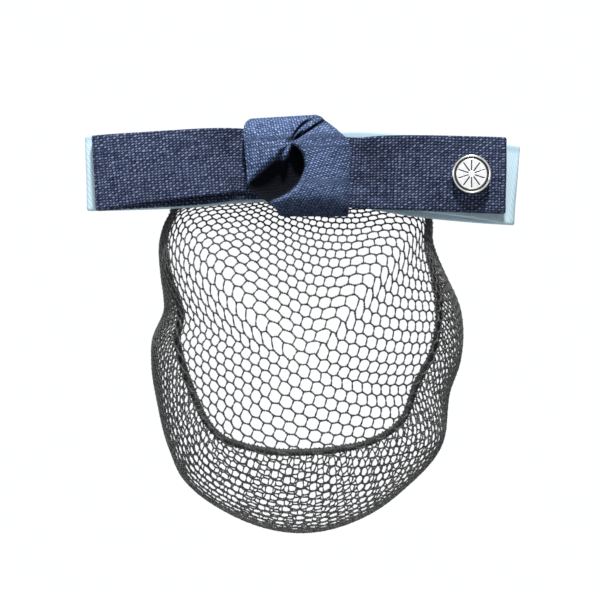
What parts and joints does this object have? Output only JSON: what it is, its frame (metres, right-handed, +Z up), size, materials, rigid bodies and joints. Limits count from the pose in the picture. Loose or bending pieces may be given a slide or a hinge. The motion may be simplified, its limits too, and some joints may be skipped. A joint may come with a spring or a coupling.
{
  "type": "hair snood",
  "caption": "A hair snood: a flat two-layer ribbon bow with a twisted knot and a round stud on a barrette clip, with a coarse elastic-edged net bag hanging from it for a bun.",
  "frame": {"origin": "the middle of the gap in the barrette clip, where it grips the hair", "axes": "+Z up as worn, +Y towards the wearer's head, so the bow faces -Y, and +X to the right of someone who looks at the bow"},
  "size_m": [0.1323, 0.0681, 0.1276],
  "materials": {
    "clip_metal": "plain stamped steel",
    "light_blue_ribbon": "fine ribbed light blue ribbon",
    "navy_ribbon": "coarse woven navy ribbon",
    "knot_ribbon": "coarse woven navy ribbon, twisted",
    "stud_rim": "polished silver-coloured metal",
    "stud_enamel": "glossy black enamel",
    "stud_face": "satin silver-coloured metal",
    "net_cord": "black knitted net",
    "edging_elastic": "black covered elastic"
  },
  "bodies": {
    "root": {"barrette_clip": "clip_metal", "light_blue_bow": "light_blue_ribbon", "navy_bow": "navy_ribbon", "knot": "knot_ribbon", "stud_body": "stud_rim", "stud_enamel": "stud_enamel", "stud_face": "stud_face", "net_bag": "net_cord", "net_edging": "edging_elastic"}
  },
  "joints": []
}
